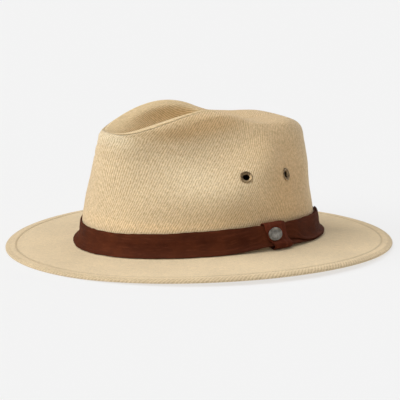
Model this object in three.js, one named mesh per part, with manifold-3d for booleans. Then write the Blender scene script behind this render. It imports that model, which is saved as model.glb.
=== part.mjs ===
// Safari hat: a soft cotton crown with a teardrop dent, a wide stitched brim,
// a leather band with a keeper loop and a small plain metal plate, and four
// brass ventilation eyelets.
//
// Millimetres. +Z is up, the hat's front is -Y and its left side is +X.
// The origin lies on the floor under the centre of the brim's outline.

import * as THREE from 'three';
import { mergeVertices } from 'three/addons/utils/BufferGeometryUtils.js';
import Module from 'manifold-3d';

// ------------------------------------------------------------ driving sizes
const BRIM_HALF_LENGTH = 170.6; // centre to the front and back edge
const BRIM_HALF_WIDTH = 160.6;  // centre to the side edges
const BRIM_EDGE = 3.0;          // turned and stitched hem
const BRIM_CLOTH = 2.4;         // two layers of twill inside the hem
const CROWN_CLOTH = 2.0;        // wall of the crown
const GAP = 0.3;                // clearance between neighbouring pieces
const SEAM_GAP = 0.45;          // clearance between the crown's side and its tip
const BAND_LEATHER = 1.4;       // thickness of the leather strap
const BAND_STANDOFF = 0.50;     // strap's back to the cloth under it
const KEEPER_LEATHER = 1.2;     // thickness of the keeper loop
const KEEPER_ROOM = 1.55;       // how much further the strap stands off inside the loop
const EYELET_OUTER = 5.4;       // radius of an eyelet's flange
const EYELET_BORE = 2.6;        // radius of the hole to look through
const EYELET_BARREL = 3.1;      // outer radius of the barrel in the cloth
const PLATE_HALF_LONG = 7.2;    // half length of the oval plate on the keeper
const PLATE_HALF_TALL = 5.6;    // half height of the same plate
const PLATE_THICK = 1.3;

const DEG = Math.PI / 180;
const COLUMNS = 56;             // columns round the crown and the brim

// ------------------------------------------------------------ crown sections
// One row for each ring of the crown, from its joint with the brim, up the
// wall, over the rim and down to the valley of the dent.
//   yf, yb      front and back end of the ring
//   w           half width
//   pear        above 0 the ring is narrower in front and fuller behind
//   zf, zs, zb  height in front, at the side and behind
//   skew        shifts the highest stretch backwards
const CROWN_RINGS = [
  { at: 'joint',    yf: -105.6, yb: 103.8, w: 90.2, pear: 0.000, zf: 15.0, zs: 20.5, zb: 17.5, skew: 0.0 },
  { at: 'band_top', yf: -103.9, yb: 101.7, w: 88.3, pear: 0.000, zf: 31.0, zs: 34.5, zb: 32.0, skew: 0.0 },
  { at: 'wall_1',   yf: -98.9, yb: 99.3, w: 87.9, pear: -0.007, zf: 51.4, zs: 55.4, zb: 51.5, skew: 0.3 },
  { at: 'wall_2',   yf: -95.3, yb: 97.4, w: 82.7, pear: 0.045, zf: 69.2, zs: 69.7, zb: 70.2, skew: 1.0 },
  { at: 'wall_3',   yf: -93.2, yb: 94.3, w: 75.0, pear: 0.106, zf: 84.0, zs: 82.9, zb: 86.8, skew: 1.6 },
  { at: 'wall_4',   yf: -93.8, yb: 89.5, w: 68.2, pear: 0.157, zf: 93.1, zs: 93.7, zb: 99.9, skew: 2.1 },
  { at: 'turn_1',   yf: -95.2, yb: 77.4, w: 62.4, pear: 0.184, zf: 97.8, zs: 99.2, zb: 107.6, skew: 3.1 },
  { at: 'turn_2',   yf: -95.4, yb: 64.9, w: 56.9, pear: 0.177, zf: 101.6, zs: 101.9, zb: 109.1, skew: 3.5 },
  { at: 'roof_1',   yf: -95.3, yb: 49.1, w: 51.3, pear: 0.154, zf: 103.4, zs: 105.6, zb: 107.3, skew: 4.2 },
  { at: 'roof_2',   yf: -94.0, yb: 36.2, w: 48.4, pear: 0.137, zf: 104.3, zs: 111.0, zb: 107.1, skew: 4.7 },
  { at: 'lip',      yf: -91.6, yb: 26.1, w: 46.3, pear: 0.101, zf: 104.9, zs: 114.4, zb: 106.7, skew: 3.9 },
  { at: 'seam',     yf: -88.6, yb: 22.9, w: 41.1, pear: 0.007, zf: 104.0, zs: 119.4, zb: 106.7, skew: 3.2 },
  { at: 'rim',      yf: -86.7, yb: 20.3, w: 35.1, pear: -0.014, zf: 103.1, zs: 119.2, zb: 107.5, skew: 2.1 },
  { at: 'inside_1', yf: -84.2, yb: 16.2, w: 26.8, pear: 0.103, zf: 101.8, zs: 116.0, zb: 107.5, skew: 1.7 },
  { at: 'inside_2', yf: -79.5, yb: 10.9, w: 23.2, pear: 0.241, zf: 99.6, zs: 105.2, zb: 104.5, skew: -0.6 },
  { at: 'inside_3', yf: -74.0, yb: 1.0, w: 17.0, pear: 0.211, zf: 96.6, zs: 96.3, zb: 100.9, skew: -1.8 },
  { at: 'valley',   yf: -66.7, yb: -14.5, w: 0.0, pear: 0.000, zf: 93.9, zs: 93.0, zb: 99.4, skew: 0.0 },
];
const RING = Object.fromEntries(CROWN_RINGS.map((row, index) => [row.at, index]));
// Past the valley the rings run on as those of the other side.
const PAST_VALLEY = { ...CROWN_RINGS.at(-2), w: -CROWN_RINGS.at(-2).w };

// Folds of the soft cloth, the same on both sides.
//   round       middle of the fold, in degrees from the front
//   ring        middle of the fold, as a ring number
//   wide, tall  size in degrees and in rings
//   lean        rings that the fold climbs in ten degrees
//   push        millimetres outwards, below 0 inwards
const CROWN_FOLDS = [
  { name: 'side_hollow',     round: 113, ring: 6.1, wide: 31, tall: 3.0, lean: -0.5, push: -8.9 },
  { name: 'pinch',           round: 78, ring: 5.5, wide: 40, tall: 3.6, lean: 0.4, push: -7.1 },
  { name: 'rear_hollow',     round: 137, ring: 5.0, wide: 18, tall: 2.9, lean: 0.6, push: -6.0 },
  { name: 'side_bulge',      round: 95, ring: 3.2, wide: 22, tall: 1.6, lean: 0.9, push: 5.6 },
  { name: 'rear_shoulder',   round: 110, ring: 9.7, wide: 47, tall: 1.1, lean: 0.2, push: 2.7 },
  { name: 'front_shoulder',  round: 41, ring: 7.2, wide: 66, tall: 2.1, lean: 0.8, push: 3.4 },
  { name: 'low_ridge',       round: 89, ring: 3.1, wide: 22, tall: 0.9, lean: 0.3, push: 3.1 },
  { name: 'rear_ridge',      round: 131, ring: 7.6, wide: 52, tall: 1.1, lean: -0.7, push: 3.1 },
  { name: 'front_corner',    round: 40, ring: 6.1, wide: 20, tall: 1.5, lean: 0.9, push: 2.5 },
  { name: 'front_dip',       round: -9, ring: 7.1, wide: 33, tall: 2.4, lean: 0.4, push: -2.1 },
];

// ------------------------------------------------------------ brim sections
// One row for each ring of the brim's upper face, from the edge to the joint.
//   out         distance from the crown's joint, as a share of the brim's width
//   zf, zs, zb  height of the upper face in front, at the side and behind
//   thick       thickness of the cloth there
const BRIM_RINGS = [
  { at: 'edge',     out: 1.000, zf: 2.3,  zs: 6.5,  zb: 2.3,  thick: BRIM_EDGE },
  { at: 'hem',      out: 0.860, zf: 2.5,  zs: 6.9,  zb: 2.6,  thick: BRIM_EDGE },
  { at: 'outer',    out: 0.660, zf: 2.9,  zs: 7.5,  zb: 3.5,  thick: BRIM_CLOTH },
  { at: 'inner',    out: 0.400, zf: 3.4,  zs: 8.4,  zb: 4.9,  thick: BRIM_CLOTH },
  { at: 'skirt',    out: 0.200, zf: 3.9,  zs: 9.2,  zb: 6.2,  thick: BRIM_CLOTH },
  { at: 'fillet_1', out: 0.125, zf: 4.4,  zs: 9.8,  zb: 6.9,  thick: BRIM_CLOTH },
  { at: 'fillet_2', out: 0.075, zf: 5.6,  zs: 11.0, zb: 8.1,  thick: BRIM_CLOTH },
  { at: 'fillet_3', out: 0.032, zf: 8.1,  zs: 13.5, zb: 10.6, thick: 2.2 },
  { at: 'fillet_4', out: 0.008, zf: 11.4, zs: 16.9, zb: 13.9, thick: CROWN_CLOTH },
  { at: 'joint',    out: 0.000, zf: 14.7, zs: 20.2, zb: 17.2, thick: CROWN_CLOTH },
];

// ------------------------------------------------------------ band and keeper
// Height of the strap's edges in front, at the side and behind.
const BAND_TOP = { zf: 24.6, zs: 30.8, zb: 27.6 };
const BAND_LOW_RING = 5.4;      // the lower edge lies on the fillet, between these brim rings
const BAND_START = 101;         // degrees from the front where the strap's inner end starts, inside the keeper
const BAND_LAP = 62;            // degrees that the outer end runs on past that start
const TAIL_PINCH = 0.30;        // share of its height that the outer end loses inside the keeper
// Corners of the keeper, in degrees from the front.
const KEEPER = { topFrom: 96.0, topTo: 107.6, lowFrom: 99.2, lowTo: 109.4 };
const KEEPER_MIDDLE = (KEEPER.topFrom + KEEPER.topTo + KEEPER.lowFrom + KEEPER.lowTo) / 4;
const PLATE_AT = { q: 0.37, angle: 100.9 }; // middle of the plate on the strap

// Eyelets: side is +1 on the hat's left; y and z where its middle sits.
const EYELETS = [
  { name: 'eyelet_left_front',  side: 1,  y: -1.9, z: 71.7 },
  { name: 'eyelet_left_rear',   side: 1,  y: 44.5, z: 68.1 },
  { name: 'eyelet_right_front', side: -1, y: -1.9, z: 71.7 },
  { name: 'eyelet_right_rear',  side: -1, y: 44.5, z: 68.1 },
];

// ------------------------------------------------------------ small helpers
const mix = (a, b, t) => a + (b - a) * t;
const smooth = (t) => { const c = Math.min(1, Math.max(0, t)); return c * c * (3 - 2 * c); };

// Height round a ring from its three heights; u is 0 in front and 180 degrees behind.
function heightAt(zf, zs, zb, u, skew = 0) {
  const second = (zf + zb) / 4 - zs / 2;
  const first = (zf - zb) / 2 - skew;
  return zs + second + first * Math.cos(u) + second * Math.cos(2 * u) + skew * Math.cos(3 * u);
}

// Row number s of a table, with a Catmull-Rom curve through each named column.
function rowAt(table, s, after = table.at(-1)) {
  const last = table.length - 1;
  const i = Math.min(last - 1, Math.max(0, Math.floor(s)));
  const t = s - i;
  const a = table[Math.max(0, i - 1)], b = table[i], c = table[i + 1], d = i + 2 > last ? after : table[i + 2];
  const row = {};
  for (const key of Object.keys(b)) {
    if (typeof b[key] !== 'number') continue;
    row[key] = 0.5 * (2 * b[key] + (c[key] - a[key]) * t
      + (2 * a[key] - 5 * b[key] + 4 * c[key] - d[key]) * t * t
      + (3 * b[key] - a[key] - 3 * c[key] + d[key]) * t * t * t);
  }
  return row;
}

// ------------------------------------------------------------ crown surface
// Point of the smooth crown on ring s at angle u, before its folds.
function crownBase(s, u) {
  const r = rowAt(CROWN_RINGS, s, PAST_VALLEY);
  const middle = (r.yf + r.yb) / 2, half = (r.yb - r.yf) / 2;
  return new THREE.Vector3(
    r.w * (Math.sin(u) - r.pear * Math.sin(2 * u)),
    middle - half * Math.cos(u),
    heightAt(r.zf, r.zs, r.zb, u, r.skew),
  );
}

// Outward direction of a surface given as a function of s and u.
function outward(surface, s, u, low, high) {
  const ds = 0.02, du = 0.01;
  const along = surface(Math.min(high, s + ds), u).sub(surface(Math.max(low, s - ds), u));
  const round = surface(s, u + du).sub(surface(s, u - du));
  return round.cross(along).normalize();
}

// How far the folds push the crown out at ring s and angle u.
function foldPush(s, u) {
  const d = Math.atan2(Math.sin(u), Math.cos(u)) / DEG;
  let total = 0;
  for (const f of CROWN_FOLDS) {
    for (const side of [d - f.round, -d - f.round]) {
      const a = side / f.wide, b = (s - f.ring - f.lean * side / 10) / f.tall;
      total += f.push * Math.exp(-a * a - b * b);
    }
  }
  return total * smooth((s - 0.8) / 1.2) * smooth(RING.seam - s);
}

// The folds push straight out from the wall, and more and more upwards over
// the shoulder.
const TOP = CROWN_RINGS.length - 1;
function crownOuter(s, u) {
  const p = crownBase(s, u), push = foldPush(s, u);
  if (push === 0) return p;
  const rise = 0.75 * smooth((s - 2) / 5);
  const way = new THREE.Vector3(Math.sin(u) * (1 - rise), -Math.cos(u) * (1 - rise), rise).normalize();
  return p.addScaledVector(way, push);
}
const crownNormal = (s, u) => outward(crownOuter, s, u, 0, TOP - 0.02);
const crownInner = (s, u) => crownOuter(s, u).addScaledVector(crownNormal(s, u), -CROWN_CLOTH);

// Ring number a given distance along the wall from the seam, below or above it.
function nearSeam(distance, u) {
  const step = 0.2, far = RING.seam + Math.sign(distance) * step;
  return RING.seam + distance * step / crownOuter(RING.seam, u).distanceTo(crownOuter(far, u));
}

// ------------------------------------------------------------ mesh builders
function meshFrom(points, faces) {
  const geometry = new THREE.BufferGeometry();
  geometry.setAttribute('position', new THREE.Float32BufferAttribute(points.flatMap((p) => [p.x, p.y, p.z]), 3));
  geometry.setIndex(faces);
  const merged = mergeVertices(geometry, 1e-4);
  const index = merged.getIndex().array, kept = [];
  for (let i = 0; i < index.length; i += 3) {
    const [a, b, c] = [index[i], index[i + 1], index[i + 2]];
    if (a !== b && b !== c && a !== c) kept.push(a, b, c);
  }
  merged.setIndex(kept);
  return merged;
}

// A solid from sections of equal point count. Each section is a closed loop;
// the row of sections either closes on itself or is capped at both ends.
function loft(sections, closed, flip = false) {
  const n = sections[0].length, m = sections.length, faces = [];
  const push = (a, b, c) => (flip ? faces.push(a, c, b) : faces.push(a, b, c));
  const spans = closed ? m : m - 1;
  for (let i = 0; i < spans; i++) {
    for (let j = 0; j < n; j++) {
      const a = i * n + j, b = i * n + (j + 1) % n;
      const c = ((i + 1) % m) * n + j, d = ((i + 1) % m) * n + (j + 1) % n;
      push(a, c, b); push(b, c, d);
    }
  }
  if (!closed) {
    for (let j = 1; j < n - 1; j++) {
      push(0, j, j + 1);
      const e = (m - 1) * n;
      push(e, e + j + 1, e + j);
    }
  }
  return meshFrom(sections.flat(), faces);
}

// A cloth wall between two rings of the crown: outer face, inner face, and the
// edges where the cloth ends. A row is a ring number, or a function that gives
// one for each angle. A wall that ends in the valley has no upper edge.
function crownWall(rows, columns, endsInValley) {
  const loops = [];
  for (const s of rows) {
    const outer = [], inner = [];
    for (let j = 0; j < columns; j++) {
      const u = (2 * Math.PI * j) / columns;
      const ring = typeof s === 'function' ? s(u) : s;
      outer.push(crownOuter(ring, u));
      inner.push(crownInner(ring, u));
    }
    loops.push({ outer, inner });
  }
  if (endsInValley) {
    const s = TOP - 0.04, last = { outer: [], inner: [] };
    for (let j = 0; j < columns; j++) {
      const u = (2 * Math.PI * Math.min(j, columns - j)) / columns;
      const p = crownBase(TOP, u);
      const q = crownOuter(s, u).addScaledVector(crownNormal(s, u), -CROWN_CLOTH);
      p.x = 0;
      last.outer.push(p);
      last.inner.push(new THREE.Vector3(0, p.y, q.z - 0.1));
    }
    loops.push(last);
  }
  const points = [], faces = [];
  const add = (list) => { const at = points.length; points.push(...list); return at; };
  const outerAt = loops.map((l) => add(l.outer)), innerAt = loops.map((l) => add(l.inner));
  const strip = (a, b, flip) => {
    for (let j = 0; j < columns; j++) {
      const k = (j + 1) % columns;
      if (flip) faces.push(a + j, b + j, a + k, a + k, b + j, b + k);
      else faces.push(a + j, a + k, b + j, a + k, b + k, b + j);
    }
  };
  for (let i = 0; i + 1 < loops.length; i++) {
    strip(outerAt[i], outerAt[i + 1], false);
    strip(innerAt[i], innerAt[i + 1], true);
  }
  strip(innerAt[0], outerAt[0], false);
  if (!endsInValley) strip(outerAt[loops.length - 1], innerAt[loops.length - 1], false);
  return meshFrom(points, faces);
}

// ------------------------------------------------------------ brim
// A point of the brim's upper face; out is 0 at the joint and 1 at the edge.
function brimPlan(out, u) {
  const joint = crownBase(0, u);
  return new THREE.Vector2(
    mix(joint.x, BRIM_HALF_WIDTH * Math.sin(u), out),
    mix(joint.y, -BRIM_HALF_LENGTH * Math.cos(u), out),
  );
}
function brimTop(s, u) {
  const r = rowAt(BRIM_RINGS, s);
  const out = Math.max(0, r.out);
  const plan = brimPlan(out, u);
  const flat = s <= 2 ? BRIM_EDGE : -1e9; // the cloth lies flat on the floor where it rests
  return new THREE.Vector3(plan.x, plan.y, Math.max(flat, heightAt(r.zf, r.zs, r.zb, u)));
}
function brimUnder(s, u) {
  const thick = rowAt(BRIM_RINGS, s).thick;
  const top = brimTop(s, u);
  if (s <= 2) return new THREE.Vector3(top.x, top.y, Math.max(0, top.z - (s < 1.01 ? BRIM_EDGE : thick)));
  const n = outward(brimTop, s, u, 2, BRIM_RINGS.length - 1);
  return top.addScaledVector(n, n.z > -0.2 ? -thick : thick);
}
function brimGeometry() {
  const last = BRIM_RINGS.length - 1;
  const sections = [];
  for (let j = 0; j < COLUMNS; j++) {
    const u = (2 * Math.PI * j) / COLUMNS;
    const top = [], under = [];
    for (let s = 0; s <= last; s++) top.push(brimTop(s, u));
    for (const s of [0, 1, 3, 5, 6, 8, last]) under.push(brimUnder(s, u));
    // the turned edge is rounded
    const inward = new THREE.Vector3(-Math.sin(u), Math.cos(u), 0);
    const edgeTop = top[0].clone(), edgeLow = under[0].clone();
    const section = [
      edgeLow.clone().addScaledVector(inward, 0.9),
      edgeLow.clone().add(new THREE.Vector3(0, 0, 0.9)),
      edgeTop.clone().add(new THREE.Vector3(0, 0, -0.9)),
      edgeTop.clone().addScaledVector(inward, 0.9),
      ...top.slice(1),
      ...under.slice(1).reverse(),
    ];
    sections.push(section);
  }
  return loft(sections, true);
}

// ------------------------------------------------------------ leather band
// The surface that the strap lies on: q is 0 at the strap's upper edge, 0.5 at
// the joint of crown and brim, and 1 at its lower edge out on the fillet.
function bandSkin(q, u) {
  const last = BRIM_RINGS.length - 1;
  if (q < 0.5) {
    const joint = crownBase(0, u), upper = crownBase(1, u);
    const z = mix(joint.z, heightAt(BAND_TOP.zf, BAND_TOP.zs, BAND_TOP.zb, u), (0.5 - q) / 0.5);
    return crownBase(Math.max(0, (z - joint.z) / (upper.z - joint.z)), u);
  }
  return brimTop(mix(last, BAND_LOW_RING, (q - 0.5) / 0.5), u);
}
function bandSkinNormal(q, u) {
  const dq = 0.03, du = 0.02;
  const down = bandSkin(Math.min(1, q + dq), u).sub(bandSkin(Math.max(0, q - dq), u));
  const round = bandSkin(q, u + du).sub(bandSkin(q, u - du));
  return down.cross(round).normalize();
}
// How far the strap stands off its seat at angle u of its own run, which
// starts at BAND_START and passes it again after a full turn.
function bandStandoff(run) {
  const start = BAND_START * DEG;
  const lapped = smooth((run - (start + 2 * Math.PI - 15 * DEG)) / (12 * DEG));
  const middle = KEEPER_MIDDLE * DEG;
  const u = run % (2 * Math.PI);
  const room = smooth(1 - (Math.abs(u - middle) - 13 * DEG) / (12 * DEG));
  return BAND_STANDOFF + KEEPER_ROOM * room + lapped * (BAND_LEATHER + 0.35);
}
function bandPoint(q, run, off) {
  const u = run % (2 * Math.PI);
  const n = bandSkinNormal(q, u);
  return bandSkin(q, u).addScaledVector(n, off);
}
const STRAP_ROWS = [0, 0.3, 0.52, 0.75, 1]; // places across the strap, shared with the keeper
function bandGeometry() {
  const start = BAND_START * DEG, end = start + 2 * Math.PI + BAND_LAP * DEG;
  const steps = 69;
  const sections = [];
  for (let i = 0; i <= steps; i++) {
    const run = mix(start, end, i / steps);
    const off = bandStandoff(run);
    const lapRun = run / DEG - 360; // the outer end, in degrees from the front
    const low = 1 - TAIL_PINCH * smooth((lapRun - 99) / 8) * (1 - smooth((lapRun - 112) / 11));
    const rows = STRAP_ROWS.map((q) => (q > 0.52 ? mix(0.52, low, (q - 0.52) / 0.48) : q));
    const back = rows.map((q) => bandPoint(q, run, off));
    const face = rows.map((q) => bandPoint(q, run, off + BAND_LEATHER));
    sections.push([...back, ...face.reverse()]);
  }
  return loft(sections, false);
}

// ------------------------------------------------------------ keeper loop
// A closed leather loop round both layers of the strap.
function keeperGeometry() {
  const steps = 6, heights = STRAP_ROWS;
  const backOff = BAND_STANDOFF + KEEPER_ROOM - GAP - KEEPER_LEATHER + 0.05;
  const faceOff = BAND_STANDOFF + KEEPER_ROOM + 2 * BAND_LEATHER + 0.35 + GAP;
  const points = [], faces = [];
  const loops = [];
  for (let i = 0; i <= steps; i++) {
    const inner = [], outer = [];
    const at = (q, off) => {
      const u = mix(mix(KEEPER.topFrom, KEEPER.lowFrom, q), mix(KEEPER.topTo, KEEPER.lowTo, q), i / steps) * DEG;
      return bandPoint(q, u, off);
    };
    const lift = new THREE.Vector3(0, 0, 1);
    // inner loop: up the back, over the top, down the face
    const backIn = heights.map((q) => at(q, backOff + KEEPER_LEATHER));
    const faceIn = heights.map((q) => at(q, faceOff));
    const backOut = heights.map((q) => at(q, backOff));
    const faceOut = heights.map((q) => at(q, faceOff + KEEPER_LEATHER));
    backIn[0].addScaledVector(lift, GAP + 0.1); faceIn[0].addScaledVector(lift, GAP + 0.1);
    backOut[0].addScaledVector(lift, GAP + 1.2); faceOut[0].addScaledVector(lift, GAP + 1.2);
    const down = (list, q, off, d) => {
      const p = at(q, off), r = at(q - 0.06, off);
      list[list.length - 1].addScaledVector(p.clone().sub(r).normalize(), d);
    };
    down(backIn, 1, backOff, GAP + 0.1); down(faceIn, 1, faceOff, GAP + 0.1);
    down(backOut, 1, backOff, GAP + 1.1); down(faceOut, 1, faceOff, GAP + 1.1);
    inner.push(...backIn.reverse(), ...faceIn);
    outer.push(...backOut.reverse(), ...faceOut);
    loops.push({ inner, outer });
  }
  const n = loops[0].inner.length;
  const innerAt = loops.map((l) => { const at = points.length; points.push(...l.inner); return at; });
  const outerAt = loops.map((l) => { const at = points.length; points.push(...l.outer); return at; });
  const quad = (a, b, c, d) => faces.push(a, b, c, a, c, d);
  for (let i = 0; i < steps; i++) {
    for (let j = 0; j < n; j++) {
      const k = (j + 1) % n;
      quad(outerAt[i] + j, outerAt[i] + k, outerAt[i + 1] + k, outerAt[i + 1] + j);
      quad(innerAt[i] + j, innerAt[i + 1] + j, innerAt[i + 1] + k, innerAt[i] + k);
    }
  }
  for (let j = 0; j < n; j++) {
    const k = (j + 1) % n, e = steps;
    quad(outerAt[0] + j, innerAt[0] + j, innerAt[0] + k, outerAt[0] + k);
    quad(outerAt[e] + j, outerAt[e] + k, innerAt[e] + k, innerAt[e] + j);
  }
  return meshFrom(points, faces);
}

// ------------------------------------------------------------ solids for cutting
const wasm = await Module();
wasm.setup();
function toSolid(geometry) {
  const g = geometry.clone();
  g.deleteAttribute('normal'); g.deleteAttribute('uv');
  const merged = mergeVertices(g, 1e-4);
  return new wasm.Manifold(new wasm.Mesh({
    numProp: 3,
    vertProperties: new Float32Array(merged.attributes.position.array),
    triVerts: new Uint32Array(merged.getIndex().array),
  }));
}
function fromSolid(solid) {
  const m = solid.getMesh();
  const geometry = new THREE.BufferGeometry();
  geometry.setAttribute('position', new THREE.BufferAttribute(new Float32Array(m.vertProperties), 3));
  geometry.setIndex(new THREE.BufferAttribute(new Uint32Array(m.triVerts), 1));
  return geometry;
}

// ------------------------------------------------------------ eyelets
// Where an eyelet sits on the crown: the ring and angle whose point has its y and z.
function eyeletSeat(e) {
  let s = 3, u = 90 * DEG;
  for (let i = 0; i < 60; i++) {
    const p = crownOuter(s, u);
    s += (e.z - p.z) / 18 * 0.7;
    u += (e.y - p.y) / 100 * 0.7;
  }
  if (e.side < 0) u = 2 * Math.PI - u;
  return { point: crownOuter(s, u), normal: crownNormal(s, u) };
}
function eyeletGeometry() {
  // closed profile of radius and depth: a domed flange outside, the barrel
  // through the cloth and a rolled flange inside
  const under = GAP + 0.2, inside = -(CROWN_CLOTH + GAP + 1.0);
  const profile = [
    [EYELET_BORE, inside - 0.5], [EYELET_OUTER - 1.1, inside - 0.6], [EYELET_OUTER - 0.9, inside],
    [EYELET_BARREL, inside], [EYELET_BARREL, under], [EYELET_OUTER, under], [EYELET_OUTER - 0.4, under + 0.6],
    [EYELET_BORE + 1.2, under + 1.1], [EYELET_BORE, under + 0.4], [EYELET_BORE, inside - 0.5],
  ].map(([r, z]) => new THREE.Vector2(r, z));
  const geometry = new THREE.LatheGeometry(profile, 12);
  geometry.rotateX(Math.PI / 2); // the lathe's axis becomes the outward direction
  return geometry;
}
function turned(geometry, seat) {
  const pose = new THREE.Matrix4().makeRotationFromQuaternion(
    new THREE.Quaternion().setFromUnitVectors(new THREE.Vector3(0, 0, 1), seat.normal));
  pose.setPosition(seat.point);
  return geometry.applyMatrix4(pose);
}

// ------------------------------------------------------------ plain oval plate
function plateGeometry() {
  const steps = 24, rings = [
    { share: 0.985, z: 0 }, { share: 1, z: PLATE_THICK * 0.45 }, { share: 0.8, z: PLATE_THICK }, { share: 0.72, z: PLATE_THICK * 0.8 },
  ];
  const sections = [];
  for (const r of rings) {
    const loop = [];
    for (let j = 0; j < steps; j++) {
      const a = (2 * Math.PI * j) / steps;
      const inset = (1 - r.share) * PLATE_HALF_TALL;
      loop.push(new THREE.Vector3((PLATE_HALF_LONG - inset) * Math.cos(a), (PLATE_HALF_TALL - inset) * Math.sin(a), r.z));
    }
    sections.push(loop);
  }
  return loft(sections, false, true);
}

// ------------------------------------------------------------ the hat
const group = new THREE.Group();
function addPiece(name, geometry, color, roughness, metalness = 0) {
  if (geometry.index === null) geometry = mergeVertices(geometry, 1e-4);
  geometry.computeVertexNormals();
  const material = new THREE.MeshStandardMaterial({ color, roughness, metalness });
  const mesh = new THREE.Mesh(geometry, material);
  mesh.name = name;
  group.add(mesh);
  return mesh;
}

const sideRows = [0, 1, 2, 2.5, 3, 3.5, 4, 5, 6, 7, 8, 9, 10, (u) => nearSeam(-SEAM_GAP / 2, u)];
const tipRows = [(u) => nearSeam(SEAM_GAP / 2, u), 12, 13, 14, 15];

const seats = EYELETS.map(eyeletSeat);
let side = toSolid(crownWall(sideRows, COLUMNS, false));
for (const seat of seats) {
  const drill = new THREE.CylinderGeometry(EYELET_BARREL + GAP, EYELET_BARREL + GAP, 14, 16);
  drill.rotateX(Math.PI / 2);
  side = side.subtract(toSolid(turned(drill, seat)));
}
addPiece('crown_side', fromSolid(side), 0xd9c49b, 0.9);
addPiece('crown_tip', crownWall(tipRows, COLUMNS, true), 0xd4be94, 0.9);
addPiece('brim', brimGeometry(), 0xdbc7a0, 0.9);
addPiece('hat_band', bandGeometry(), 0x54291c, 0.6);
addPiece('keeper_loop', keeperGeometry(), 0x5f2a22, 0.6);

seats.forEach((seat, i) => {
  const geometry = eyeletGeometry();
  geometry.deleteAttribute('normal'); geometry.deleteAttribute('uv');
  addPiece(EYELETS[i].name, turned(mergeVertices(geometry, 1e-4), seat), 0x8a6f3c, 0.35, 1);
});

const plateOff = BAND_STANDOFF + KEEPER_ROOM + 2 * BAND_LEATHER + 0.35 + GAP + KEEPER_LEATHER + GAP + 0.35;
const plateSeat = bandPoint(PLATE_AT.q, PLATE_AT.angle * DEG, plateOff);
const plateNormal = bandSkinNormal(PLATE_AT.q, PLATE_AT.angle * DEG);
const plate = plateGeometry();
const across = new THREE.Vector3(0, 0, 1).cross(plateNormal).normalize();
const upward = plateNormal.clone().cross(across);
plate.applyMatrix4(new THREE.Matrix4().makeBasis(across, upward, plateNormal).setPosition(plateSeat));
addPiece('keeper_plate', plate, 0x8c8c84, 0.35, 1);

export default group;
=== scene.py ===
import math

import bpy
import numpy as np
from mathutils import Matrix, Vector


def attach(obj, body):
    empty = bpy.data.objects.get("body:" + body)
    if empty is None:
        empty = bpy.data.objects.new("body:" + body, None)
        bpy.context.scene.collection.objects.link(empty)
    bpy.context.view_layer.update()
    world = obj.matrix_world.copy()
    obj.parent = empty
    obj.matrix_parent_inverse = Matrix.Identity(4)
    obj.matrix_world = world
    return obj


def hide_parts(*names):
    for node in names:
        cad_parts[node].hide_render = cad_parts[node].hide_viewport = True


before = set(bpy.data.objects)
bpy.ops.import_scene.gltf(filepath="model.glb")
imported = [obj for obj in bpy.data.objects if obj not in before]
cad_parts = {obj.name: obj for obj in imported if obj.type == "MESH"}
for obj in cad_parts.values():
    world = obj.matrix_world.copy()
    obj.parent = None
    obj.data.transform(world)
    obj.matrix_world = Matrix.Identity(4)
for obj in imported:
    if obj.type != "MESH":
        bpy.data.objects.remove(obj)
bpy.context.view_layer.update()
MM = 0.001
DEG = math.pi / 180

# ---------------------------------------------------------------- camera
# The photograph's view: 62 degrees round from the front and 12.4 above the
# horizon, from 1.5 m.
BACK = np.array([math.sin(61.99 * DEG) * math.cos(12.378 * DEG),
                 -math.cos(61.99 * DEG) * math.cos(12.378 * DEG),
                 math.sin(12.378 * DEG)])
RIGHT = np.array([math.cos(61.99 * DEG), math.sin(61.99 * DEG), 0.0])
UP = np.cross(BACK, RIGHT)
cam_data = bpy.data.cameras.new("camera")
cam_data.sensor_width = 36.0
cam_data.lens = 1712.64 / 400 * 36.0
cam_data.clip_start = 0.01
cam_data.clip_end = 60.0
cam = bpy.data.objects.new("camera", cam_data)
bpy.context.scene.collection.objects.link(cam)
cam_at = Vector(BACK * 1.5)
aim = Vector(UP * 0.03707)
cam.location = cam_at
cam.rotation_euler = (aim - cam_at).to_track_quat("-Z", "Y").to_euler()
bpy.context.scene.camera = cam

# ---------------------------------------------------------------- sizes, mm
BRIM_HALF_LENGTH, BRIM_HALF_WIDTH = 170.6, 160.6
BRIM_EDGE, BRIM_CLOTH, CROWN_CLOTH = 3.0, 2.4, 2.0
BAND_LEATHER, BAND_STANDOFF = 1.4, 0.35
KEEPER_LEATHER, KEEPER_ROOM = 1.2, 1.55
GAP = 0.3

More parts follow.
